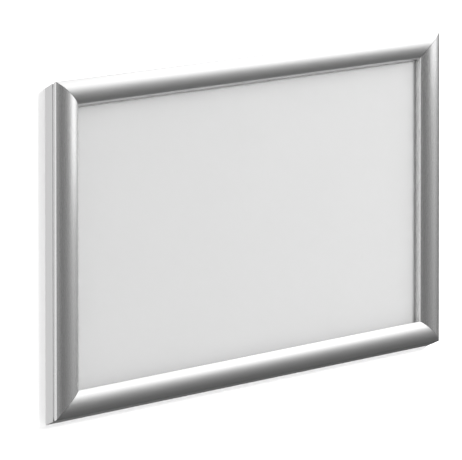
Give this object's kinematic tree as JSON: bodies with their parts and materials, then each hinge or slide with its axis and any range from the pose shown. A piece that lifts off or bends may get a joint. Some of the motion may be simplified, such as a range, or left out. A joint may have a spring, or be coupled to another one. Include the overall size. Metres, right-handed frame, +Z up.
{
  "type": "snap frame",
  "caption": "Landscape wall-mounted snap frame: mitred base rails on corner keys, spring-loaded hinged covers that clamp a poster insert and clear sheet over a back panel",
  "frame": {"origin": "centre of the face that lies on the wall, midway between the screw holes", "axes": "+X to the viewer's right along the long side, +Z up, the front faces -Y and the wall is the plane Y = 0"},
  "size_m": [0.45, 0.0234, 0.327],
  "materials": {
    "rail": "satin silver anodised",
    "cover": "satin silver anodised, fine extrusion lines",
    "spring": "spring steel strip",
    "key": "zinc plated",
    "screw": "black oxide",
    "panel": "white polystyrene",
    "insert": "plain white printed paper stock",
    "clear": "anti-glare clear PVC"
  },
  "bodies": {
    "frame": {"base_rail_bottom": "rail", "base_rail_left": "rail", "base_rail_top": "rail", "base_rail_right": "rail", "corner_key_bottom_left": "key", "corner_key_bottom_right": "key", "corner_key_top_left": "key", "corner_key_top_right": "key", "set_screws_bottom_left": "screw", "set_screws_bottom_right": "screw", "set_screws_top_left": "screw", "set_screws_top_right": "screw", "springs_bottom": "spring", "springs_left": "spring", "springs_top": "spring", "springs_right": "spring", "back_panel": "panel", "poster_insert": "insert", "clear_sheet": "clear"},
    "cover_bottom": {"snap_cover_bottom": "cover"},
    "cover_left": {"snap_cover_left": "cover"},
    "cover_top": {"snap_cover_top": "cover"},
    "cover_right": {"snap_cover_right": "cover"}
  },
  "joints": [
    {"name": "cover_bottom_hinge", "type": "hinge", "parent": "frame", "child": "cover_bottom", "pos_m": [0, -0.0153, -0.1619], "axis": [1, 0, 0], "range_deg": [0, 90], "deforming": ["springs_bottom"]},
    {"name": "cover_left_hinge", "type": "hinge", "parent": "frame", "child": "cover_left", "pos_m": [-0.2234, -0.0153, 0], "axis": [0, 0, -1], "range_deg": [0, 90], "deforming": ["springs_left"]},
    {"name": "cover_top_hinge", "type": "hinge", "parent": "frame", "child": "cover_top", "pos_m": [0, -0.0153, 0.1619], "axis": [-1, 0, 0], "range_deg": [0, 90], "deforming": ["springs_top"]},
    {"name": "cover_right_hinge", "type": "hinge", "parent": "frame", "child": "cover_right", "pos_m": [0.2234, -0.0153, 0], "axis": [0, 0, 1], "range_deg": [0, 90], "deforming": ["springs_right"]}
  ]
}
